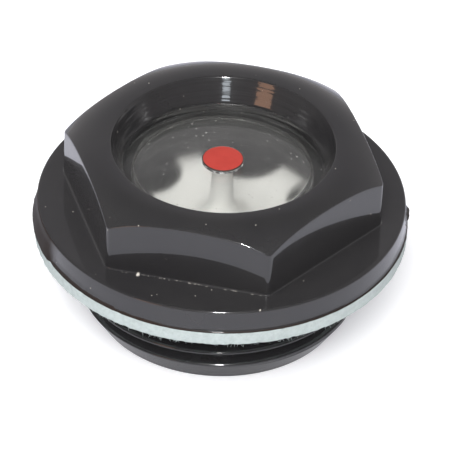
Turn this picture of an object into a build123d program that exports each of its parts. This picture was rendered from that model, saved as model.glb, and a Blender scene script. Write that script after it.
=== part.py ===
from build123d import *
import os
from math import cos, radians, sin, sqrt, tan

# Tank level gauge: a hexagon-headed screw-in sight plug for a fluid tank.
#
# A black moulded nylon body holds a clear domed window over a white
# six-lobed reflector, and a fibre washer seals it against the tank wall.
#
# Frame: millimetres, +Z out of the tank along the thread's axis. The origin
# is on the axis in the sealing plane, the underside of the washer. Two
# corners of the hexagon lie on the X axis.

# ---- Thread: G 1 1/4 parallel pipe thread, drawn at its crests -------------
thread_major_d = 41.91
thread_depth = 1.48
spigot_length = 13.3  # from the sealing plane to the end
lead_length = 3.9  # lead-in cone at the end
lead_mouth = 0.5  # chamfer at the mouth of the rear bore
end_width = 1.4  # of the flat ring left at the end

# ---- Sealing washer ---------------------------------------------------------
washer_overhang = 0.3  # past the foot of the flange
washer_thickness = 2.2
washer_clearance = 0.25  # round the thread's crests

# ---- Flange -----------------------------------------------------------------
flange_land = 3.16  # past the head's corners, at its upper edge
flange_thickness = 3.6
flange_flare = 0.2  # its side leans out by this much at the foot
flange_edge = 0.25

# ---- Hexagon head -----------------------------------------------------------
head_height = 9.95  # above the flange
across_flats = 42.0
corner_rounding = 1.0
crown_land = 3.4  # its flat top, round the recess
crown_angle = 30.0  # of the chamfer that takes off its corners
foot_edge = 0.3  # where the head's sides meet the flange

# ---- Sight recess and window seat -------------------------------------------
lip_d = 29.4  # opening of the snap lip
lip_height = 1.3
lip_reach = 0.5  # over the window's flange
recess_depth = 3.6  # of the conical wall
recess_spread = 1.9  # how far that wall leans out to the top
rim_edge = 0.3

# ---- Window -----------------------------------------------------------------
window_flange_thickness = 1.95
window_clearance = 0.1  # radial, in its seat
dome_gap = 1.35  # round the dome, inside the lip
shoulder_height = 0.9  # from the flange up to the foot of the dome
shoulder_draft = 0.25
dome_rise = 1.4  # from its foot to its apex
dome_steps = 2  # the shallow dome is turned in this many straight steps
window_wall = 2.5
dot_recess_depth = 1.05
dot_fit = 0.2  # radial, round the dot

# ---- Level dot --------------------------------------------------------------
dot_d = 6.0
dot_thickness = 0.9
dot_edge = 0.1

# ---- Window seal: a square-cut ring -----------------------------------------
seal_width = 1.75
seal_height = 1.5

# ---- Ledge that carries the seal --------------------------------------------
ledge_margin = 0.15  # past the seal's inner edge
ledge_thickness = 2.1

# ---- Reflector --------------------------------------------------------------
reflector_depth = 4.6  # top of its lobes below the top of the flange
reflector_thickness = 1.2
bore_margin = 1.3  # of the rear bore past the window's seat, radially
seat_step = 0.9  # the bore narrows by this, radially, above the reflector
reflector_fit = 0.1  # radial, in the rear bore
lobe_count = 6
scallop_d = 12.0
scallop_inset = 0.3  # of their centres, inside the rear bore
post_tip_d = 2.9
post_waist_d = 3.8
post_flare = 4.0  # radius where the post spreads into the disc
flare_steps = 3  # straight steps in that quarter turn
post_gap = 0.2  # below the window
snap_height = 0.35
snap_length = 0.9

# ---- Moulding marks: foot flash and gate nub --------------------------------
flash_reach = 0.25  # past the foot of the flange, all round
flash_height = 0.3
flash_runs = (  # taller runs, torn off unevenly: start and end in degrees, reach, height
    (186.0, 219.5, 0.55, 2.6),
    (219.5, 250.0, 0.30, 1.1),
    (250.0, 268.0, 0.25, 0.6),
    (350.0, 371.0, 0.30, 0.8),
)
gate_angle = 11.5
gate_width = 2.6
gate_height = 1.3
gate_reach = 0.6
gate_centre = 2.1  # above the foot of the flange

# ---- Levels along the axis --------------------------------------------------
thread_top = 0.0  # the plain neck above it is as long as the washer is thick
flange_foot = washer_thickness
flange_top = flange_foot + flange_thickness
head_top = flange_top + head_height
spigot_end = -spigot_length
recess_foot = head_top - recess_depth
seat_top = recess_foot - lip_height  # underside of the snap lip
window_foot = seat_top - window_flange_thickness
ledge_top = window_foot - seal_height
ledge_foot = ledge_top - ledge_thickness
reflector_top = flange_top - reflector_depth
reflector_foot = reflector_top - reflector_thickness
dome_foot = seat_top + shoulder_height
dome_apex = dome_foot + dome_rise

# ---- Radii ------------------------------------------------------------------
thread_r = thread_major_d / 2
neck_r = thread_r - thread_depth
lip_r = lip_d / 2
recess_r = lip_r + recess_spread
crown_r = recess_r + crown_land
window_r = lip_r + lip_reach
seat_r = window_r + window_clearance
dome_r = lip_r - dome_gap - shoulder_draft
ledge_r = window_r - seal_width - ledge_margin
rear_r = seat_r + bore_margin
upper_r = rear_r - seat_step
mouth_r = rear_r + lead_mouth
lead_end_r = mouth_r + end_width
hexagon_r = across_flats / sqrt(3)
corner_r = hexagon_r - corner_rounding * (2 / sqrt(3) - 1)
flange_r = corner_r + flange_land
flange_foot_r = flange_r + flange_flare
washer_r = flange_foot_r + washer_overhang
dome_sphere_r = (dome_r**2 + dome_rise**2) / (2 * dome_rise)
dome_centre = dome_apex - dome_sphere_r
inner_sphere_r = dome_sphere_r - window_wall


def dome_profile(sphere_r, rim_r):
    """Points from the axis out to the rim, on a sphere about the dome's centre."""
    radii = [rim_r * step / dome_steps for step in range(dome_steps + 1)]
    return [(r, dome_centre + sqrt(sphere_r**2 - r**2)) for r in radii]


# ---- Body: one moulding, hexagon head, flange and hollow spigot -------------
with BuildPart() as body:
    # Hexagon, with rounded corners and a chamfered top.
    with BuildSketch(Plane.XY.offset(flange_top)):
        RegularPolygon(radius=hexagon_r, side_count=6)
    extrude(amount=head_height)
    fillet(body.edges().filter_by(Axis.Z), radius=corner_rounding)
    cut_r = hexagon_r + corner_rounding
    crown_drop = (cut_r - crown_r) * tan(radians(crown_angle))
    with BuildSketch(Plane.XZ):
        with BuildLine():
            Polyline(
                (crown_r, head_top),
                (cut_r, head_top - crown_drop),
                (cut_r, head_top + corner_rounding),
                (crown_r, head_top + corner_rounding),
                close=True,
            )
        make_face()
    revolve(axis=Axis.Z, mode=Mode.SUBTRACT)

    # Flange and spigot, solid for now.
    with BuildSketch(Plane.XZ):
        with BuildLine():
            Polyline(
                (0, spigot_end),
                (lead_end_r, spigot_end),
                (thread_r, spigot_end + lead_length),
                (thread_r, thread_top),
                (neck_r, thread_top),
                (neck_r, flange_foot),
                (flange_foot_r, flange_foot),
                (flange_r, flange_top),
                (0, flange_top),
                close=True,
            )
        make_face()
    revolve(axis=Axis.Z)
    flange_rim = body.edges().filter_by(GeomType.CIRCLE).filter_by_position(
        Axis.Z, flange_top - flange_edge / 2, flange_top + flange_edge / 2
    ).sort_by(SortBy.RADIUS)[-1]
    chamfer(flange_rim, length=flange_edge)
    top_edges = body.edges().filter_by_position(
        Axis.Z, flange_top - foot_edge / 4, flange_top + foot_edge / 4
    ).sort_by(SortBy.LENGTH)
    head_foot = top_edges[:-1]  # the longest is the flange's rim
    chamfer(head_foot, length=foot_edge)

    # Flash left along the foot of the flange, sloping up to the flange's side.
    for start, end, reach, height in ((0, 360, flash_reach, flash_height), *flash_runs):
        flash_r = flange_foot_r + reach
        with BuildSketch(Plane.XZ.rotated((0, 0, start))):
            with BuildLine():
                Polyline(
                    (neck_r, flange_foot),
                    (flash_r, flange_foot),
                    (flange_r, flange_foot + height),
                    (neck_r, flange_foot + height),
                    close=True,
                )
            make_face()
        revolve(axis=Axis.Z, revolution_arc=start - end)

    # Stub of the gate on the flange's side.
    gate_plane = Plane(
        origin=(0, 0, flange_foot + gate_centre),
        x_dir=(-sin(radians(gate_angle)), cos(radians(gate_angle)), 0),
        z_dir=(cos(radians(gate_angle)), sin(radians(gate_angle)), 0),
    )
    with BuildSketch(gate_plane.offset(flange_r - gate_reach)):
        Rectangle(gate_width, gate_height)
    extrude(amount=flange_flare + 2 * gate_reach)

    # Stepped bore: sight recess, snap lip, window seat, ledge and oil space.
    with BuildSketch(Plane.XZ):
        with BuildLine():
            Polyline(
                (0, head_top),
                (recess_r, head_top),
                (lip_r, recess_foot),
                (lip_r, seat_top),
                (seat_r, seat_top),
                (seat_r, ledge_top),
                (ledge_r, ledge_top),
                (ledge_r, ledge_foot),
                (upper_r, ledge_foot),
                (upper_r, reflector_top),
                (rear_r, reflector_top),
                (rear_r, reflector_foot),
                (rear_r - snap_height, reflector_foot - snap_length / 2),
                (rear_r, reflector_foot - snap_length),
                (rear_r, spigot_end + lead_mouth),
                (mouth_r, spigot_end),
                (0, spigot_end),
                close=True,
            )
        make_face()
    revolve(axis=Axis.Z, mode=Mode.SUBTRACT)
    rims = body.edges().filter_by(GeomType.CIRCLE).filter_by_position(
        Axis.Z, recess_foot - rim_edge / 2, head_top + rim_edge / 2
    )
    chamfer(rims.sort_by(Axis.Z)[-1], length=rim_edge)

# ---- Window: clear moulded dome on a flat flange ----------------------------
with BuildPart() as window:
    inner_rim_r = dome_r - shoulder_draft
    flange_section = [
        (inner_rim_r, window_foot),
        (window_r, window_foot),
        (window_r, seat_top),
        (dome_r + shoulder_draft, seat_top),
    ]
    inner_dome = dome_profile(inner_sphere_r, inner_rim_r)
    outer_dome = dome_profile(dome_sphere_r, dome_r)
    with BuildSketch(Plane.XZ):
        with BuildLine():
            Polyline(*inner_dome, *flange_section, *reversed(outer_dome), close=True)
        make_face()
    revolve(axis=Axis.Z)
    with BuildSketch(Plane.XY.offset(dome_apex)):
        Circle(dot_d / 2 + dot_fit)
    extrude(amount=-dot_recess_depth, mode=Mode.SUBTRACT)

# ---- Level dot: red disc let into the top of the dome -----------------------
with BuildPart() as red_dot:
    with BuildSketch(Plane.XY.offset(dome_apex - dot_recess_depth)):
        Circle(dot_d / 2)
    extrude(amount=dot_thickness)
    chamfer(red_dot.edges().sort_by(Axis.Z)[-1], length=dot_edge)

# ---- Window seal: squeezed between the window's flange and the ledge --------
with BuildPart() as window_seal:
    with BuildSketch(Plane.XZ):
        with Locations((window_r - seal_width / 2, ledge_top + seal_height / 2)):
            Rectangle(seal_width, seal_height)
    revolve(axis=Axis.Z)

# ---- Reflector: white lobed disc, drawn up into a flared central post -------
with BuildPart() as reflector:
    lobe_r = rear_r - reflector_fit
    post_top = dome_apex - window_wall - post_gap
    with BuildSketch(Plane.XY.offset(reflector_foot)):
        Circle(lobe_r)
        with PolarLocations(rear_r - scallop_inset, lobe_count, start_angle=180 / lobe_count):
            Circle(scallop_d / 2, mode=Mode.SUBTRACT)
    extrude(amount=reflector_thickness)
    flare_centre_r = post_waist_d / 2 + post_flare
    flare_turns = [radians(180 + 90 * step / flare_steps) for step in range(flare_steps + 1)]
    flare = [
        (
            flare_centre_r + post_flare * cos(turn),
            reflector_top + post_flare + post_flare * sin(turn),
        )
        for turn in flare_turns
    ]
    with BuildSketch(Plane.XZ):
        with BuildLine():
            Polyline(
                (0, reflector_foot),
                (0, post_top),
                (post_tip_d / 2, post_top),
                *flare,
                (flare_centre_r, reflector_foot),
                close=True,
            )
        make_face()
    revolve(axis=Axis.Z)

# ---- Sealing washer: flat ring of pressed white fibre -----------------------
with BuildPart() as sealing_washer:
    with BuildSketch():
        Circle(washer_r)
        Circle(thread_r + washer_clearance, mode=Mode.SUBTRACT)
    extrude(amount=washer_thickness)

finished = {
    "body": body,
    "window": window,
    "red_dot": red_dot,
    "window_seal": window_seal,
    "reflector": reflector,
    "sealing_washer": sealing_washer,
}
os.makedirs("parts", exist_ok=True)
for name, piece in finished.items():
    piece.part.label = name
    export_step(piece.part, f"parts/{name}.step")
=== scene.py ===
import random
from math import acos, atan2, cos, hypot, pi, radians, sin, sqrt, tan

import bmesh
import bpy
from mathutils import Matrix, Vector, noise


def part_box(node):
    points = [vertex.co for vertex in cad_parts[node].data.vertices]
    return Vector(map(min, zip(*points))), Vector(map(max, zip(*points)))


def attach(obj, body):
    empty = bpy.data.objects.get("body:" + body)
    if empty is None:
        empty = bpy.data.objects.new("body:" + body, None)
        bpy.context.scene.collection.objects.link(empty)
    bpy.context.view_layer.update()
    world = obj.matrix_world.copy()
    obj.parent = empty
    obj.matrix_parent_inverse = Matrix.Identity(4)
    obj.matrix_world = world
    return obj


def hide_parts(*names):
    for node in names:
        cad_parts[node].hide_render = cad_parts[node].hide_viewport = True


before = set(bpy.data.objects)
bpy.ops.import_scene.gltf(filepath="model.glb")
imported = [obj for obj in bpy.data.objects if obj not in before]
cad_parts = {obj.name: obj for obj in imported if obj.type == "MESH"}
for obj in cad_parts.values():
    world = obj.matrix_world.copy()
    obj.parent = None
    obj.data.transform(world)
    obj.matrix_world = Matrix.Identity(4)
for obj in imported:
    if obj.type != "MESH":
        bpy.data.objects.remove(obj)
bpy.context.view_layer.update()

# ---- Body -------------------------------------------------------------------
# One moulding of black glass-filled nylon: hexagon head, flange and hollow
# spigot with a G 1 1/4 thread. Thin flash was squeezed out at the foot of the
# flange, where the mould halves meet, and the gate was snapped off its side.
mm = 0.001
flange_thickness = 3.6 * mm
window_flange = 1.95 * mm
lip_height = 1.3 * mm
ledge_thickness = 2.1 * mm
reflector_thickness = 1.2 * mm

body_low, body_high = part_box("body")
seal_low, seal_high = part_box("window_seal")
reflector_low, reflector_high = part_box("reflector")
washer_low, washer_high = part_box("sealing_washer")
spigot_end = body_low.z
head_top = body_high.z
flange_foot = washer_high.z
flange_top = flange_foot + flange_thickness
ledge_top = seal_low.z
ledge_foot = ledge_top - ledge_thickness
window_foot = seal_high.z
seat_top = window_foot + window_flange
recess_foot = seat_top + lip_height
reflector_foot = reflector_low.z
reflector_face = reflector_foot + reflector_thickness

flats_apart = 42.0 * mm
corner_rounding = 1.0 * mm
crown_land_r = 17.5 * mm  # the crown is flat out to here
crown_round = 9.5 * mm
head_edge = 0.28 * mm
flange_r = 27.254 * mm
flange_foot_r = flange_r + 0.2 * mm
flange_edge = 0.3 * mm

recess_r = 16.6 * mm
recess_edge = 0.35 * mm
lip_r = 14.7 * mm
lip_edge = 0.2 * mm
seat_r = 15.3 * mm
ledge_r = 13.3 * mm
upper_r = 15.7 * mm  # of the fluid space, from the ledge down to the reflector
rear_r = 16.6 * mm
bead_height = 0.35 * mm  # the snap bead that holds the reflector
bead_length = 0.9 * mm

neck_r = 19.475 * mm
lead_end_r = 18.5 * mm
lead_top = spigot_end + 3.9 * mm
thread_r = 20.955 * mm
pitch = 2.309 * mm
flank_angle = radians(27.5)
crest_round = 0.137 * pitch
crest_reach = crest_round * cos(flank_angle)
crest_fall = crest_round * (1 - sin(flank_angle))
first_crest = -6.6 * mm  # a crest's height on the +X side

gate_angle = radians(11.5)
gate_up = 2.1 * mm  # its centre above the flange's foot
gate_half_width = 1.3 * mm
gate_half_height = 0.7 * mm
gate_reach = 0.58 * mm


def rounded(corners, steps=4):
    """Points (r, z) of a section whose corners, given as (r, z, rounding), are turned into arcs."""
    points = [Vector(corners[0][:2])]
    for before, corner, after in zip(corners, corners[1:], corners[2:]):
        here = Vector(corner[:2])
        rounding = corner[2]
        if not rounding:
            points.append(here)
            continue
        back = (Vector(before[:2]) - here).normalized()
        onward = (Vector(after[:2]) - here).normalized()
        half = back.angle(onward) / 2
        centre = here + (back + onward).normalized() * rounding / sin(half)
        first = here + back * rounding / tan(half) - centre
        last = here + onward * rounding / tan(half) - centre
        for step in range(steps + 1):
            points.append(centre + first.lerp(last, step / steps).normalized() * rounding)
    points.append(Vector(corners[-1][:2]))
    return points


def hexagon_radius(angle):
    """Radius of the rounded hexagon, whose corners lie on the X axis and every 60 degrees."""
    from_corner = abs((angle + pi / 6) % (pi / 3) - pi / 6)
    to_centre = (flats_apart / 2 - corner_rounding) / cos(pi / 6)
    rounding_end = atan2(corner_rounding * sin(pi / 6), to_centre + corner_rounding * cos(pi / 6))
    if from_corner < rounding_end:
        sideways = to_centre * sin(from_corner)
        return to_centre * cos(from_corner) + sqrt(corner_rounding**2 - sideways**2)
    return flats_apart / 2 / cos(pi / 6 - from_corner)


def flash_form(angle):
    """Reach past the flange's foot and height of the flash, which was torn off unevenly."""
    degrees = (angle * 180 / pi) % 360
    reach, height = 0.22, 0.25
    for start, end, run_reach, run_height, tear in (
        (186, 219.5, 0.52, 2.3, 1.5),
        (219.5, 250, 0.28, 1.0, 0.6),
        (250, 268, 0.25, 0.55, 2.0),
        (349, 371, 0.26, 0.7, 3.0),
    ):
        inside = min(degrees - start, end - degrees)
        if degrees < end - 360:
            inside = end - 360 - degrees
        share = min(max(inside / tear, 0), 1)
        reach = max(reach, run_reach * share)
        height = max(height, run_height * share)
    around = Vector((cos(angle), sin(angle), 0.3))
    ragged = noise.noise(around * 22) * 0.06 + noise.noise(around * 75) * 0.03
    return (reach + min(ragged, 0.02)) * mm, height * (1 + 2.5 * ragged) * mm


def gate_stub(angle, height):
    """How far the broken gate stands out of the flange's side."""
    across = abs(angle - gate_angle) * flange_r / gate_half_width
    upward = abs(height - flange_foot - gate_up) / gate_half_height
    if across > 1 or upward > 1:
        return 0
    torn = 0.8 + 0.25 * noise.noise(Vector((across * 3, upward * 3, angle * 40)))
    return gate_reach * torn * min(1, 4 * (1 - across)) * min(1, 5 * (1 - upward))


def flange_side(angle, height):
    """Radius of the flange, whose side leans out to its foot."""
    lean = (flange_foot_r - flange_r) * (flange_top - height) / (flange_top - flange_foot)
    return flange_r + lean + gate_stub(angle, height)


def crown_height(radius):
    """Height of the crown, flat round the recess and then rounded over to the corners."""
    outward = max(radius - crown_land_r, 0)
    return head_top - crown_round + sqrt(crown_round**2 - outward**2)


def lead_in_radius(height):
    """Radius of the cone at the spigot's end, which leads the thread into its port."""
    return lead_end_r + (thread_r - lead_end_r) * (height - spigot_end) / (lead_top - spigot_end)


def body_section(angle):
    """Section at one angle, from the neck over the flange and head and down the bore."""
    hexagon = hexagon_radius(angle)
    flash_reach, flash_height = flash_form(angle)

    def flash_at(up):
        """What is left of the flash's reach this far up."""
        return flash_reach * max(1 - up * mm / flash_height, 0)

    side = []  # its points are closer together at the upper and lower edge of the gate
    for up in (0.8, 1.38, 1.48, 1.7, 2.1, 2.5, 2.72, 2.82, 3.1):
        height = flange_foot + up * mm
        side.append((flange_side(angle, height) + flash_at(up), height, 0))
    crown_edge = crown_height(hexagon)
    crown = [recess_r + (hexagon - recess_r) * step / 9 for step in range(8, 0, -1)]
    return rounded([
        # neck, underside of the flange, and its side with the flash
        (neck_r, flange_foot - 1.4 * mm, 0),
        (neck_r, flange_foot, 0),
        (thread_r + 0.4 * mm, flange_foot, 0),
        (flange_foot_r + flash_reach, flange_foot, 0.05 * mm),
        (flange_foot_r + flash_reach * 0.9, flange_foot + 0.12 * mm, 0.04 * mm),
        (flange_foot_r + flash_at(0.3), flange_foot + 0.3 * mm, 0),
        *side,
        (flange_r, flange_top, flange_edge),
        # top of the flange, and the head
        (flange_r - 0.7 * mm, flange_top, 0),
        (hexagon + 0.6 * mm, flange_top, 0),
        (hexagon, flange_top, head_edge),
        (hexagon, flange_top + 1.0 * mm, 0),
        (hexagon, crown_edge - 0.7 * mm, 0),
        (hexagon, crown_edge, head_edge),
        *[(radius, crown_height(radius), 0) for radius in crown],
        # recess, snap lip, window's seat and ledge
        (recess_r, head_top, recess_edge),
        ((recess_r + lip_r) / 2, (head_top + recess_foot) / 2, 0),
        (lip_r, recess_foot, lip_edge),
        (lip_r, seat_top, 0.05 * mm),
        (seat_r, seat_top, 0),
        (seat_r, ledge_top, 0),
        (ledge_r, ledge_top, 0.1 * mm),
        (ledge_r, ledge_foot, 0.2 * mm),
        # fluid space, reflector's seat and snap bead, and the spigot's end
        (upper_r, ledge_foot, 0.3 * mm),
        (upper_r, reflector_face, 0),
        (rear_r, reflector_face, 0),
        (rear_r, reflector_foot, 0),
        (rear_r - bead_height, reflector_foot - bead_length / 2, 0.1 * mm),
        (rear_r, reflector_foot - bead_length, 0.1 * mm),
        (rear_r, spigot_end + 0.5 * mm, 0.2 * mm),
        (rear_r + 0.5 * mm, spigot_end, 0.2 * mm),
        (lead_end_r, spigot_end, 0.25 * mm),
        (lead_in_radius(spigot_end + 0.3 * mm), spigot_end + 0.3 * mm, 0),
    ])


def thread_radius(height):
    """Radius of the rounded 55-degree pipe thread at a height on the +X side."""
    from_crest = abs((height - first_crest + pitch / 2) % pitch - pitch / 2)
    from_root = pitch / 2 - from_crest
    if from_crest < crest_reach:
        return thread_r - crest_round + sqrt(crest_round**2 - from_crest**2)
    if from_root < crest_reach:
        root_r = thread_r - 2 * crest_fall - (pitch / 2 - 2 * crest_reach) / tan(flank_angle)
        return root_r + crest_round - sqrt(crest_round**2 - from_root**2)
    return thread_r - crest_fall - (from_crest - crest_reach) / tan(flank_angle)


def make_object(name, bm):
    """A finished piece from a bmesh, smooth-shaded with its flat faces kept flat."""
    bmesh.ops.recalc_face_normals(bm, faces=bm.faces)
    mesh = bpy.data.meshes.new(name)
    bm.to_mesh(mesh)
    bm.free()
    mesh.shade_smooth()
    piece = bpy.data.objects.new(name, mesh)
    bpy.context.scene.collection.objects.link(piece)
    piece.modifiers.new("flat_faces", "WEIGHTED_NORMAL").weight = 80
    return piece


def verts_of(parts):
    """The vertices among the parts that an operator made."""
    return [part for part in parts if isinstance(part, bmesh.types.BMVert)]


def draw_section(bm, points):
    """The section's points joined in a line in the XZ plane, ready to spin."""
    verts = [bm.verts.new((r, 0, z)) for r, z in points]
    edges = [bm.edges.new(pair) for pair in zip(verts, verts[1:])]
    return verts, edges


def spin_round(bm, verts, edges, steps, sectors=6):
    """The drawn section spun through one sector, which is then copied round the axis."""
    drawn = set(verts + edges)
    others = set(bm.verts[:] + bm.edges[:] + bm.faces[:]) - drawn
    bmesh.ops.spin(bm, geom=verts + edges, cent=(0, 0, 0), axis=(0, 0, 1),
                   angle=2 * pi / sectors, steps=steps // sectors)
    first = [part for part in bm.verts[:] + bm.edges[:] + bm.faces[:] if part not in others]
    for sector in range(1, sectors):
        copied = bmesh.ops.duplicate(bm, geom=first)["geom"]
        bmesh.ops.rotate(bm, verts=verts_of(copied), cent=(0, 0, 0),
                         matrix=Matrix.Rotation(2 * pi * sector / sectors, 3, "Z"))
    bmesh.ops.remove_doubles(bm, verts=bm.verts, dist=0.002 * mm)


# The thread: one turn of its form, copied up the spigot and trimmed level.
# Its lowest groove grows shallow and runs out into the lead-in cone.
pitch_rows = 20
turn_steps = 240
thread_turns = 7
thread_low = spigot_end - pitch
run_out_start = lead_top - 0.7 * mm
run_out = 0.8 * mm
lead_blend = 0.15 * mm
bm = bmesh.new()
heights = [thread_low + pitch * row / pitch_rows for row in range(pitch_rows + 1)]
verts, edges = draw_section(bm, [(thread_radius(height), height) for height in heights])
bmesh.ops.spin(bm, geom=verts + edges, cent=(0, 0, 0), axis=(0, 0, 1), angle=2 * pi,
               dvec=(0, 0, pitch / turn_steps), steps=turn_steps)
one_turn = bm.verts[:] + bm.edges[:] + bm.faces[:]
for turn in range(1, thread_turns):
    copied = bmesh.ops.duplicate(bm, geom=one_turn)["geom"]
    bmesh.ops.translate(bm, verts=verts_of(copied), vec=(0, 0, pitch * turn))
bmesh.ops.remove_doubles(bm, verts=bm.verts, dist=0.005 * mm)
for vert in bm.verts:
    radius = hypot(vert.co.x, vert.co.y)
    grown = min(max((vert.co.z - run_out_start) / run_out, 0), 1)
    threaded = thread_r - (thread_r - radius) * grown**2 * (3 - 2 * grown)
    lead = lead_in_radius(vert.co.z)
    overlap = max(lead_blend - abs(threaded - lead), 0) / lead_blend
    vert.co.xy *= (min(threaded, lead) - overlap**2 * lead_blend / 4) / radius
for level, up in ((spigot_end + 0.45 * mm, -1), (flange_foot - 1.7 * mm, 1)):
    bmesh.ops.bisect_plane(bm, geom=bm.verts[:] + bm.edges[:] + bm.faces[:],
                           plane_co=(0, 0, level), plane_no=(0, 0, up), clear_outer=True)

# The rest: the section spun round, then each column moved to its own form.
columns = 480
corner_share = 0.35  # of an even spacing, at the hexagon's corners


def column_angle(column):
    """Angle of one column; they crowd together at the hexagon's corners."""
    sector, place = divmod(column + columns / 12, columns / 6)
    place = place / (columns / 12) - 1
    return (sector + (corner_share * place + (1 - corner_share) * place**3) / 2) * pi / 3


sections = [body_section(column_angle(column)) for column in range(columns)]
row_of = bm.verts.layers.int.new("row")
verts, edges = draw_section(bm, sections[0])
for row, vert in enumerate(verts):
    vert[row_of] = row + 1
spin_round(bm, verts, edges, columns)
for vert in bm.verts:
    if vert[row_of]:
        column = round(atan2(vert.co.y, vert.co.x) / (2 * pi) * columns) % columns
        angle = column_angle(column)
        radius, height = sections[column][vert[row_of] - 1]
        vert.co = radius * cos(angle), radius * sin(angle), height

open_edges = [edge for edge in bm.edges if edge.is_boundary]
for ends in (
    [edge for edge in open_edges if edge.verts[0].co.z > lead_top],
    [edge for edge in open_edges if edge.verts[0].co.z <= lead_top],
):
    bmesh.ops.bridge_loops(bm, edges=ends)
moulded_body = make_object("moulded_body", bm)


def material(name):
    """A new material with its node tree and its principled shader."""
    made = bpy.data.materials.new(name)
    made.use_nodes = True
    return made, made.node_tree, made.node_tree.nodes["Principled BSDF"]


def mottle(tree, scale, detail=4.0, roughness=0.6):
    """Cloudy noise over the object's own coordinates; scale is in patches per metre."""
    place = tree.nodes.new("ShaderNodeTexCoord")
    clouds = tree.nodes.new("ShaderNodeTexNoise")
    clouds.inputs["Scale"].default_value = scale
    clouds.inputs["Detail"].default_value = detail
    clouds.inputs["Roughness"].default_value = roughness
    tree.links.new(place.outputs["Object"], clouds.inputs["Vector"])
    return clouds.outputs["Fac"]


def ramp(tree, factor, stops):
    """Colours or greys spread along a factor, from (place, colour) stops."""
    node = tree.nodes.new("ShaderNodeValToRGB")
    elements = node.color_ramp.elements
    while len(elements) < len(stops):
        elements.new(0.5)
    for element, (place, colour) in zip(elements, stops):
        element.position = place
        element.color = (*colour, 1)
    tree.links.new(factor, node.inputs["Fac"])
    return node.outputs["Color"]


def bump(tree, factor, height):
    """A surface raised to the height where the factor is one."""
    node = tree.nodes.new("ShaderNodeBump")
    node.inputs["Strength"].default_value = 1.0
    node.inputs["Distance"].default_value = height
    tree.links.new(factor, node.inputs["Height"])
    return node.outputs["Normal"]


def squashed_place(tree, squash, centre=(0, 0, 0)):
    """Object coordinates from a centre, each axis times its share in squash."""
    place = tree.nodes.new("ShaderNodeTexCoord")
    away = tree.nodes.new("ShaderNodeVectorMath")
    away.operation = "SUBTRACT"
    away.inputs[1].default_value = centre
    tree.links.new(place.outputs["Object"], away.inputs[0])
    squashed = tree.nodes.new("ShaderNodeVectorMath")
    squashed.operation = "MULTIPLY"
    squashed.inputs[1].default_value = squash
    tree.links.new(away.outputs["Vector"], squashed.inputs[0])
    return squashed.outputs["Vector"]


def distance(tree, squash, centre=(0, 0, 0)):
    """Distance from a centre, each axis counting by its share in squash."""
    length = tree.nodes.new("ShaderNodeVectorMath")
    length.operation = "LENGTH"
    tree.links.new(squashed_place(tree, squash, centre), length.inputs[0])
    return length.outputs["Value"]


def fade(tree, factor, start, end, low=0.0, high=1.0):
    """A value that goes from low to high while the factor goes from start to end."""
    node = tree.nodes.new("ShaderNodeMapRange")
    node.inputs["From Min"].default_value = start
    node.inputs["From Max"].default_value = end
    node.inputs["To Min"].default_value = low
    node.inputs["To Max"].default_value = high
    tree.links.new(factor, node.inputs["Value"])
    return node.outputs["Result"]


def join(tree, operation, first, second):
    """Two values joined by a sum, a product or the like; either may be a plain number."""
    node = tree.nodes.new("ShaderNodeMath")
    node.operation = operation
    for value, entry in zip((first, second), node.inputs):
        if isinstance(value, (int, float)):
            entry.default_value = value
        else:
            tree.links.new(value, entry)
    return node.outputs["Value"]


def blend(tree, factor, first, second):
    """One colour or grey over another by a factor; either may be a plain colour."""
    node = tree.nodes.new("ShaderNodeMix")
    node.data_type = "RGBA"
    tree.links.new(factor, node.inputs["Factor"])
    for value, entry in ((first, node.inputs["A"]), (second, node.inputs["B"])):
        if isinstance(value, tuple):
            entry.default_value = (*value, 1)
        else:
            tree.links.new(value, entry)
    return node.outputs["Result"]


def dust(tree, scale, size):
    """Sparse specks; scale is in places per metre, size is a speck's share of a place."""
    place = tree.nodes.new("ShaderNodeTexCoord")
    cells = tree.nodes.new("ShaderNodeTexVoronoi")
    cells.inputs["Scale"].default_value = scale
    tree.links.new(place.outputs["Object"], cells.inputs["Vector"])
    return fade(tree, cells.outputs["Distance"], size, size * 0.6)


# The plastic is polished outside. Inside, where the flash and gate were torn,
# and where the flange's side was smeared, it is dull.
nylon, tree, shader = material("black_nylon")
radius = distance(tree, (1, 1, 0))
height = distance(tree, (0, 0, 1), (0, 0, spigot_end))
inside = join(tree, "MULTIPLY", fade(tree, radius, 17.4 * mm, 17.2 * mm),
              fade(tree, height, seat_top - spigot_end, seat_top - spigot_end - 0.2 * mm))
torn = join(tree, "MULTIPLY",
            fade(tree, radius, flange_foot_r + 0.04 * mm, flange_foot_r + 0.1 * mm),
            fade(tree, height, flange_foot - spigot_end - 0.1 * mm, flange_foot - spigot_end))
smear_place = -24 * mm, -10.2 * mm, 0
from_smear = distance(tree, (0.3, 1, 0), smear_place)
smeared = join(tree, "MULTIPLY", fade(tree, from_smear, 8.6 * mm, 6.2 * mm),
               fade(tree, radius, flange_r - 0.14 * mm, flange_r - 0.06 * mm))
torn = join(tree, "MAXIMUM", torn, smeared)
dull = join(tree, "MAXIMUM", inside, torn)

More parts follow.
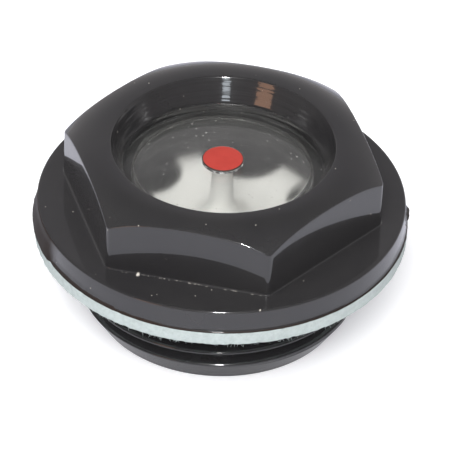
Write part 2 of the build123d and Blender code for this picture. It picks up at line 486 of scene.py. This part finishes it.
# Dust lies on it and is caught along the foot of the front flat. There is a
# chip near that foot, and a scuff on the flange's edge.
caught_end = 11.6 * mm
chip_place = -7.3 * mm, -21.3 * mm, flange_top + 0.1 * mm
scuff_place = 11.7 * mm, -24.6 * mm, flange_top
from_foot = distance(tree, (0, 1, 1), (0, -flats_apart / 2 - 0.2 * mm, flange_top + 0.02 * mm))
sideways = distance(tree, (1, 0, 0))
caught = join(tree, "MULTIPLY", fade(tree, from_foot, 0.14 * mm, 0.08 * mm),
              fade(tree, mottle(tree, 1500), 0.55, 0.68))
caught = join(tree, "MULTIPLY", caught,
              fade(tree, sideways, caught_end + 0.2 * mm, caught_end - 0.2 * mm, 0.0, 0.5))
chip = fade(tree, distance(tree, (1, 0.8, 0.8), chip_place), 0.32 * mm, 0.2 * mm)
scuff = fade(tree, distance(tree, (1, 0.3, 1), scuff_place), 0.15 * mm, 0.1 * mm)
marks = join(tree, "MAXIMUM", chip, scuff)
marks = join(tree, "MAXIMUM", marks, caught)
marks = join(tree, "MAXIMUM", marks, dust(tree, 520, 0.05))

plastic = ramp(tree, mottle(tree, 90), [(0.35, (0.023, 0.0222, 0.0235)), (0.7, (0.029, 0.028, 0.0285))])
plastic = blend(tree, torn, plastic, (0.020, 0.013, 0.010))
tree.links.new(blend(tree, marks, plastic, (0.50, 0.47, 0.42)), shader.inputs["Base Color"])
polish = ramp(tree, mottle(tree, 260), [(0.3, (0.16,) * 3), (0.75, (0.26,) * 3)])
tree.links.new(blend(tree, dull, polish, (0.6,) * 3), shader.inputs["Roughness"])
coat = join(tree, "MULTIPLY", fade(tree, dull, 0, 1, 1.0, 0.08), fade(tree, marks, 0, 1, 1.0, 0.0))
tree.links.new(coat, shader.inputs["Coat Weight"])

# The wall of the recess still shows faint rings from the turned mould.
recess = join(tree, "MULTIPLY", fade(tree, radius, 16.8 * mm, 16.6 * mm),
              fade(tree, height, recess_foot - spigot_end, recess_foot - spigot_end + 0.3 * mm))
rings = tree.nodes.new("ShaderNodeTexNoise")
rings.inputs["Scale"].default_value = 1900
rings.inputs["Detail"].default_value = 1.5
tree.links.new(squashed_place(tree, (0.04, 0.04, 1)), rings.inputs["Vector"])
relief = join(tree, "ADD", join(tree, "MULTIPLY", mottle(tree, 900, 3.0), 0.03),
              join(tree, "MULTIPLY", recess, rings.outputs["Fac"]))
grained = bump(tree, relief, 0.07 * mm)
tree.links.new(grained, shader.inputs["Normal"])
tree.links.new(grained, shader.inputs["Coat Normal"])
shader.inputs["IOR"].default_value = 1.5
shader.inputs["Specular IOR Level"].default_value = 0.2
shader.inputs["Coat Roughness"].default_value = 0.025
shader.inputs["Coat IOR"].default_value = 1.6
moulded_body.data.materials.append(nylon)
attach(moulded_body, "root")
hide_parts("body")

# ---- Reflector ---------------------------------------------------------------
# White moulded disc, snapped in from behind. Six scallops let the fluid
# through between its lobes, and a flared post in its middle throws light up
# under the red dot.
lobe_r = rear_r - 0.1 * mm
scallop_r = 6.0 * mm
scallop_out = 16.3 * mm
post_tip_r = 1.45 * mm
post_waist_r = 1.9 * mm
post_flare = 4.0 * mm
post_top = reflector_high.z
flare_r = post_waist_r + post_flare

lobes = 6
sector_steps = 40  # of the spin, from one scallop to the next
scallop_steps = 30  # the rest follow the rim
inset = 1.5 * mm  # a ring this far in from the outline keeps the flat faces even
rim_share = 0.003  # of a sector, where the rim's steps close up round the post


def lobed_edge(step, inward):
    """Angle and radius at one step of the disc's outline, or of one further inward."""
    sector, place = divmod(step, sector_steps)
    rim, scallop = lobe_r - inward, scallop_r + inward
    rim_angle = acos((rim**2 + scallop_out**2 - scallop**2) / (2 * rim * scallop_out))
    if place > scallop_steps:
        along_rim = (place - scallop_steps) / (sector_steps - scallop_steps)
        return (sector + 0.5) * pi / 3 + rim_angle + (pi / 3 - 2 * rim_angle) * along_rim, rim
    half_swing = pi - atan2(rim * sin(rim_angle), rim * cos(rim_angle) - scallop_out)
    swing = half_swing * (2 * place / scallop_steps - 1)
    across, outward = scallop * sin(swing), scallop_out - scallop * cos(swing)
    return (sector + 0.5) * pi / 3 + atan2(across, outward), hypot(across, outward)


def post_angle(step):
    """Angle round the post at one step, where the rim's own steps are drawn close together."""
    sector, place = divmod(step, sector_steps)
    along_scallop = min(place / scallop_steps, 1)
    along_rim = max(place - scallop_steps, 0) / (sector_steps - scallop_steps)
    turned = rim_share / 2 + (1 - rim_share) * along_scallop + rim_share * along_rim
    return (sector + turned) * pi / 3


def reflector_section(edge):
    """Section from the post's tip over the disc and back under it, for one edge radius."""
    return rounded([
        (0, post_top, 0),
        (post_tip_r, post_top, 0.35 * mm),
        (post_waist_r, reflector_face, post_flare),
        (flare_r, reflector_face, 0),
        (edge - inset, reflector_face, 0),
        (edge, reflector_face, 0.25 * mm),
        (edge, reflector_foot, 0.15 * mm),
        (edge - inset, reflector_foot, 0),
        (flare_r, reflector_foot, 0),
        (0, reflector_foot, 0),
    ], 8)


steps = sector_steps * lobes
bm = bmesh.new()
row_of = bm.verts.layers.int.new("row")
verts, edges = draw_section(bm, reflector_section(lobe_r))
for row, vert in enumerate(verts):
    vert[row_of] = row
spin_round(bm, verts, edges, steps)
for vert in bm.verts:
    if hypot(vert.co.x, vert.co.y) > 0.01 * mm:
        step = round(atan2(vert.co.y, vert.co.x) / (2 * pi) * steps) % steps
        angle, edge = lobed_edge(step, 0)
        radius, height = reflector_section(edge)[vert[row_of]]
        if radius < flare_r * 1.01:
            angle = post_angle(step)
        elif radius < edge - inset / 2:
            angle, radius = lobed_edge(step, inset)
        vert.co = radius * cos(angle), radius * sin(angle), height
bmesh.ops.remove_doubles(bm, verts=bm.verts, dist=0.002 * mm)
lobed_reflector = make_object("lobed_reflector", bm)


def cloudy_roughness(tree, shader, scale, low, high):
    """Roughness that drifts between two values in cloudy patches."""
    greys = ramp(tree, mottle(tree, scale), [(0.3, (low,) * 3), (0.8, (high,) * 3)])
    tree.links.new(greys, shader.inputs["Roughness"])


white_plastic, tree, shader = material("white_plastic")
white = ramp(tree, mottle(tree, 320), [(0.3, (0.86, 0.86, 0.84)), (0.75, (0.92, 0.92, 0.90))])
tree.links.new(white, shader.inputs["Base Color"])
cloudy_roughness(tree, shader, 500, 0.32, 0.46)
shader.inputs["IOR"].default_value = 1.5
lobed_reflector.data.materials.append(white_plastic)
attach(lobed_reflector, "root")
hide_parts("reflector")

# ---- Window seal --------------------------------------------------------------
# Black nitrile ring on the ledge, squeezed flat under the window's flange.
# It is moulded, and nothing but the window holds it.
rubber, tree, shader = material("nitrile_rubber")
tree.links.new(ramp(tree, mottle(tree, 700), [(0.3, (0.012,) * 3), (0.8, (0.03,) * 3)]),
               shader.inputs["Base Color"])
cloudy_roughness(tree, shader, 1500, 0.5, 0.7)
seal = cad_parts["window_seal"]
seal.data.materials.clear()
seal.data.materials.append(rubber)

# ---- Window -------------------------------------------------------------------
# Clear moulded plastic: a shallow dome on a flat flange, pushed in from the
# front until the lip of the recess snaps over it.
window_r = 15.2 * mm
dome_r = 13.1 * mm
dome_foot = seat_top + 0.9 * mm
dome_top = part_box("window")[1].z
dome_rise = dome_top - dome_foot
sphere_r = (dome_r**2 + dome_rise**2) / (2 * dome_rise)
shoulder_draft = 0.25 * mm
window_wall = 2.5 * mm
inner_r = dome_r - 0.25 * mm
window_edge = 0.08 * mm
dot_hole_r = 3.06 * mm
dot_hole_foot = dome_top - 1.05 * mm


def dome_line(sphere, start, end, steps):
    """Points along a sphere about the dome's centre, from one radius to another."""
    radii = [start + (end - start) * step / steps for step in range(steps + 1)]
    return [(r, dome_top - sphere_r + sqrt(sphere**2 - r**2), 0) for r in radii]


# The rim of the dot's hole, the dome's foot and the edge inside are rounded.
outer_dome = dome_line(sphere_r, dot_hole_r, dome_r, 14)
inner_dome = dome_line(sphere_r - window_wall, inner_r, 0, 16)
outer_dome[0] = (*outer_dome[0][:2], 0.06 * mm)
outer_dome[-1] = (*outer_dome[-1][:2], 0.3 * mm)
inner_dome[0] = (*inner_dome[0][:2], 0.2 * mm)
window_section = rounded([
    (0, dot_hole_foot, 0),
    (dot_hole_r, dot_hole_foot, 0.05 * mm),
    *outer_dome,
    (dome_r + shoulder_draft, seat_top, window_edge),
    (window_r, seat_top, window_edge),
    (window_r, window_foot, window_edge),
    (inner_r, window_foot, window_edge),
    *inner_dome,
], 5)
bm = bmesh.new()
verts, edges = draw_section(bm, window_section)
spin_round(bm, verts, edges, 192)
domed_window = make_object("domed_window", bm)

# It is a little hazy and has specks of dust in it. The top of the dot's hole
# is dark and opaque in a thin ring, and daylight goes through to light the
# reflector.
clear, tree, shader = material("clear_plastic")
haze = ramp(tree, mottle(tree, 160, 6.0), [(0.3, (0.988,) * 3), (0.75, (0.97,) * 3)])
specks = dust(tree, 700, 0.085)
radius = distance(tree, (1, 1, 0))
depth = distance(tree, (0, 0, 1), (0, 0, dome_top))
# A dark, opaque ring round the top of the dot's hole.
dark_ring = join(tree, "MULTIPLY", fade(tree, radius, dot_hole_r + 0.06 * mm, dot_hole_r + 0.02 * mm),
             fade(tree, depth, 0.32 * mm, 0.22 * mm))
haze = blend(tree, specks, haze, (0.1,) * 3)
tree.links.new(blend(tree, dark_ring, haze, (0.0,) * 3), shader.inputs["Transmission Weight"])
clean = ramp(tree, mottle(tree, 240), [(0.3, (0.93, 0.93, 0.91)), (0.8, (0.97, 0.97, 0.95))])
clean = blend(tree, specks, clean, (0.55, 0.53, 0.50))
tree.links.new(blend(tree, dark_ring, clean, (0.05, 0.045, 0.04)), shader.inputs["Base Color"])
cloudy_roughness(tree, shader, 300, 0.11, 0.15)
shader.inputs["IOR"].default_value = 1.49
shader.inputs["Coat Weight"].default_value = 0.6
shader.inputs["Coat Roughness"].default_value = 0.04
see_through = tree.nodes.new("ShaderNodeBsdfTransparent")
see_through.inputs["Color"].default_value = (0.93, 0.93, 0.92, 1)
path = tree.nodes.new("ShaderNodeLightPath")
daylight = join(tree, "MAXIMUM", path.outputs["Is Shadow Ray"], path.outputs["Is Diffuse Ray"])
pick = tree.nodes.new("ShaderNodeMixShader")
tree.links.new(daylight, pick.inputs["Fac"])
tree.links.new(shader.outputs["BSDF"], pick.inputs[1])
tree.links.new(see_through.outputs["BSDF"], pick.inputs[2])
tree.links.new(pick.outputs["Shader"], tree.nodes["Material Output"].inputs["Surface"])
domed_window.data.materials.append(clear)
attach(domed_window, "root")
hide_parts("window")

# ---- Red dot ------------------------------------------------------------------
# Disc punched from red plastic sheet, with a soft upper edge. It is glued
# into the hole in the top of the dome, and it is darker at its rim.
dot_low, dot_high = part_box("red_dot")
dot_r = dot_high.x
dot_section = rounded([
    (0, dot_high.z, 0),
    (dot_r * 0.6, dot_high.z, 0),
    (dot_r, dot_high.z, 0.12 * mm),
    (dot_r, dot_low.z, 0.05 * mm),
    (0, dot_low.z, 0),
])
bm = bmesh.new()
verts, edges = draw_section(bm, dot_section)
spin_round(bm, verts, edges, 96)
punched_dot = make_object("punched_dot", bm)

red, tree, shader = material("red_plastic")
# The dot's colour darkens to near black at its rim.
darker_rim = fade(tree, distance(tree, (1, 1, 0)), dot_r - 0.12 * mm, dot_r - 0.04 * mm)
plastic = ramp(tree, mottle(tree, 600), [(0.3, (0.40, 0.040, 0.030)), (0.8, (0.47, 0.055, 0.042))])
tree.links.new(blend(tree, darker_rim, plastic, (0.05, 0.035, 0.03)), shader.inputs["Base Color"])
cloudy_roughness(tree, shader, 1200, 0.35, 0.5)
punched_dot.data.materials.append(red)
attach(punched_dot, "root")
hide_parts("red_dot")

# ---- Sealing washer -------------------------------------------------------------
# Ring of pressed white fibre board, pushed up the thread against the flange.
# Its cut edge is soft, and loose fibres hang from it.
washer_r = washer_high.x
washer_bore_r = thread_r + 0.25 * mm
washer_thickness = washer_high.z - washer_low.z
strands = 420
edge_heights = [washer_high.z - washer_thickness * share for share in (0.12, 0.26, 0.4, 0.55, 0.7, 0.85)]
washer_section = rounded([
    (washer_bore_r, washer_low.z, 0),
    (washer_bore_r, washer_high.z, 0),
    (washer_r - 0.8 * mm, washer_high.z, 0),
    (washer_r, washer_high.z, 0.12 * mm),
    *[(washer_r, height, 0) for height in edge_heights],
    (washer_r, washer_low.z, 0.25 * mm),
    (washer_r - 0.8 * mm, washer_low.z, 0),
    (washer_r - 2.4 * mm, washer_low.z, 0),
    (washer_bore_r, washer_low.z, 0),
])
bm = bmesh.new()
verts, edges = draw_section(bm, washer_section)
spin_round(bm, verts, edges, 900)

# The cut edge is worn back unevenly, more so towards its foot.
for vert in bm.verts:
    radius = hypot(vert.co.x, vert.co.y)
    if radius > washer_r - 0.5 * mm:
        fuzz = noise.noise(vert.co * 900) + 0.6 * noise.noise(vert.co * 2600)
        lower = (washer_high.z - vert.co.z) / washer_thickness
        inward = (0.07 + 0.06 * fuzz + 0.05 * lower) * mm
        vert.co.xy *= (radius - max(inward, 0)) / radius
        if lower > 0.8:
            vert.co.z += max(0.05 + 0.13 * noise.noise(vert.co * 1500), 0) * mm

# Loose fibres hang from the foot of the edge, each a thin cone rooted inside.
random.seed(41)
for strand in range(strands):
    angle = random.uniform(0, 2 * pi)
    length = random.uniform(0.1, 0.55) * mm
    inward = random.uniform(0.12, 0.6) * mm
    root = Vector((washer_r - inward, 0, washer_low.z + random.uniform(0, 0.2) * mm))
    droop = pi - min(radians(random.uniform(0, 50)), 0.8 * inward / length)
    lean = radians(random.uniform(-50, 50))
    place = (Matrix.Rotation(angle, 4, "Z") @ Matrix.Translation(root)
             @ Matrix.Rotation(lean, 4, "X") @ Matrix.Rotation(droop, 4, "Y")
             @ Matrix.Translation((0, 0, length / 2)))
    bmesh.ops.create_cone(bm, segments=4, radius1=0.03 * mm, radius2=0.01 * mm, depth=length,
                          cap_ends=True, matrix=place)
fibre_washer = make_object("fibre_washer", bm)

fibre, tree, shader = material("pressed_fibre")
pulp = ramp(tree, mottle(tree, 1400, 8.0, 0.75),
            [(0.25, (0.37, 0.43, 0.43)), (0.5, (0.49, 0.55, 0.55)), (0.8, (0.58, 0.64, 0.64))])
tree.links.new(pulp, shader.inputs["Base Color"])
cloudy_roughness(tree, shader, 900, 0.85, 0.97)
tree.links.new(bump(tree, mottle(tree, 3500, 6.0, 0.8), 0.08 * mm), shader.inputs["Normal"])
fibre_washer.data.materials.append(fibre)
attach(fibre_washer, "root")
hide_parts("sealing_washer")

# ---- Floor and backdrop ---------------------------------------------------------
# White paper under the gauge. It glows a little for the camera, so that it
# stays white and keeps the shadow. Polished faces mirror it as a cool grey,
# with painted shade that darkens it towards the spigot and a painted glow
# in a ring round the spigot.
bm = bmesh.new()
bmesh.ops.create_circle(bm, cap_ends=True, segments=96, radius=1.2)
mesh = bpy.data.meshes.new("floor")
bm.to_mesh(mesh)
bm.free()
floor = bpy.data.objects.new("floor", mesh)
floor.location.z = spigot_end
bpy.context.scene.collection.objects.link(floor)
paper, tree, shader = material("white_paper")
path = tree.nodes.new("ShaderNodeLightPath")
mirrored = join(tree, "MAXIMUM", path.outputs["Is Glossy Ray"], path.outputs["Is Transmission Ray"])
radius = distance(tree, (1, 1, 0))
# Painted shade: mirrored rays see the floor darkened towards the spigot.
mirrored_painted_shade = blend(tree, fade(tree, radius, 20 * mm, 33 * mm, 0.12, 1.0), (0, 0, 0), (0.60, 0.605, 0.67))
tree.links.new(blend(tree, mirrored, (0.86, 0.86, 0.86), mirrored_painted_shade), shader.inputs["Base Color"])
shader.inputs["Roughness"].default_value = 0.9
shader.inputs["Specular IOR Level"].default_value = 0.0
shader.inputs["Emission Color"].default_value = (0.95, 0.95, 1.0, 1)
# Painted glow: mirrored rays see the floor glow in a ring round the spigot, fading out by 32 mm.
painted_glow_ring = join(tree, "MULTIPLY", mirrored, fade(tree, radius, 17 * mm, 19 * mm))
painted_glow_ring = join(tree, "MULTIPLY", painted_glow_ring, fade(tree, radius, 22 * mm, 32 * mm, 0.33, 0.0))
glow = join(tree, "MULTIPLY", path.outputs["Is Camera Ray"], 0.4)
tree.links.new(join(tree, "ADD", painted_glow_ring, glow), shader.inputs["Emission Strength"])
floor.data.materials.append(paper)

# ---- Light ------------------------------------------------------------------------
# A plain room, white below the horizon and to the camera, dim overhead and
# on the camera's side. Three soft lamps light the gauge from that side.
world = bpy.data.worlds.new("room")
bpy.context.scene.world = world
world.use_nodes = True
tree = world.node_tree
background = tree.nodes["Background"]
direction = tree.nodes.new("ShaderNodeTexCoord")
split = tree.nodes.new("ShaderNodeSeparateXYZ")
tree.links.new(direction.outputs["Generated"], split.inputs["Vector"])
height = fade(tree, split.outputs["Z"], -1.0, 1.0)
before = ramp(tree, height, [
    (0.49, (1, 1, 1)), (0.505, (0.15, 0.14, 0.14)), (0.7, (0.17, 0.16, 0.17)),
    (0.9, (0.15, 0.15, 0.15)), (1.0, (0.12, 0.12, 0.125)),
])
behind = ramp(tree, height, [
    (0.49, (1, 1, 1)), (0.51, (0.5, 0.48, 0.49)), (0.6, (0.42, 0.40, 0.41)),
    (0.72, (0.33, 0.32, 0.33)), (0.81, (0.25, 0.24, 0.255)), (0.9, (0.10, 0.10, 0.10)),
    (1.0, (0.08, 0.08, 0.085)),
])
room = blend(tree, fade(tree, split.outputs["Y"], 0.0, 0.5), before, behind)
path = tree.nodes.new("ShaderNodeLightPath")
room = blend(tree, path.outputs["Is Camera Ray"], room, (1, 1, 1))
tree.links.new(room, background.inputs["Color"])

camera_turn = radians(12.5)
camera_rise = radians(37.82)


def lamp(name, turn, rise, away, size, power, colour=(1, 1, 1)):
    """A round lamp aimed at the gauge; turn is from the camera's side, rise above the floor."""
    light = bpy.data.lights.new(name, "AREA")
    light.shape = "DISK"
    light.size = size
    light.energy = power
    light.color = colour
    holder = bpy.data.objects.new(name, light)
    holder.matrix_world = (Matrix.Rotation(camera_turn + radians(turn), 4, "Z")
                           @ Matrix.Rotation(radians(90 - rise), 4, "X")
                           @ Matrix.Translation((0, 0, away)))
    bpy.context.scene.collection.objects.link(holder)
    return holder


for soft in (
    lamp("soft_left", -46, 62, 0.9, 0.6, 5.2),
    lamp("soft_right", 40, 62, 0.9, 0.6, 3.0),
    lamp("soft_front", -4, 46, 0.9, 0.3, 4.6),
):
    soft.visible_glossy = False

# Small bright things that only the polished body mirrors, and only once.
polished = bpy.data.collections.new("polished")
polished.objects.link(moulded_body)
for bright in (
    lamp("flash", 1, 47, 0.8, 0.08, 6.0),
    lamp("window_light", -1, 21, 1.0, 0.14, 0.30, (0.85, 0.93, 1.0)),
    lamp("warm_wall", -40, 17, 1.0, 0.30, 0.58, (1.0, 0.53, 0.32)),
):
    bright.visible_diffuse = False
    bright.light_linking.receiver_collection = polished
    bright.data.use_nodes = True
    tree = bright.data.node_tree
    path = tree.nodes.new("ShaderNodeLightPath")
    once = join(tree, "LESS_THAN", path.outputs["Ray Depth"], 2.5)
    tree.links.new(once, tree.nodes["Emission"].inputs["Strength"])

# ---- Camera --------------------------------------------------------------------------
# A long lens, looking down on the front of the gauge and rolled a little.
camera_aim = Vector((1.338, -2.371, 2.445)) * mm
camera_away = 817.5 * mm
camera_roll = radians(1.995)
camera_data = bpy.data.cameras.new("camera")
camera_data.lens = 440.5
camera_data.clip_start = 0.05
camera = bpy.data.objects.new("camera", camera_data)
camera.matrix_world = (Matrix.Translation(camera_aim) @ Matrix.Rotation(camera_turn, 4, "Z")
                       @ Matrix.Rotation(pi / 2 - camera_rise, 4, "X")
                       @ Matrix.Rotation(camera_roll, 4, "Z")
                       @ Matrix.Translation((0, 0, camera_away)))
bpy.context.scene.collection.objects.link(camera)
bpy.context.scene.camera = camera
bpy.context.scene.view_settings.view_transform = "Standard"
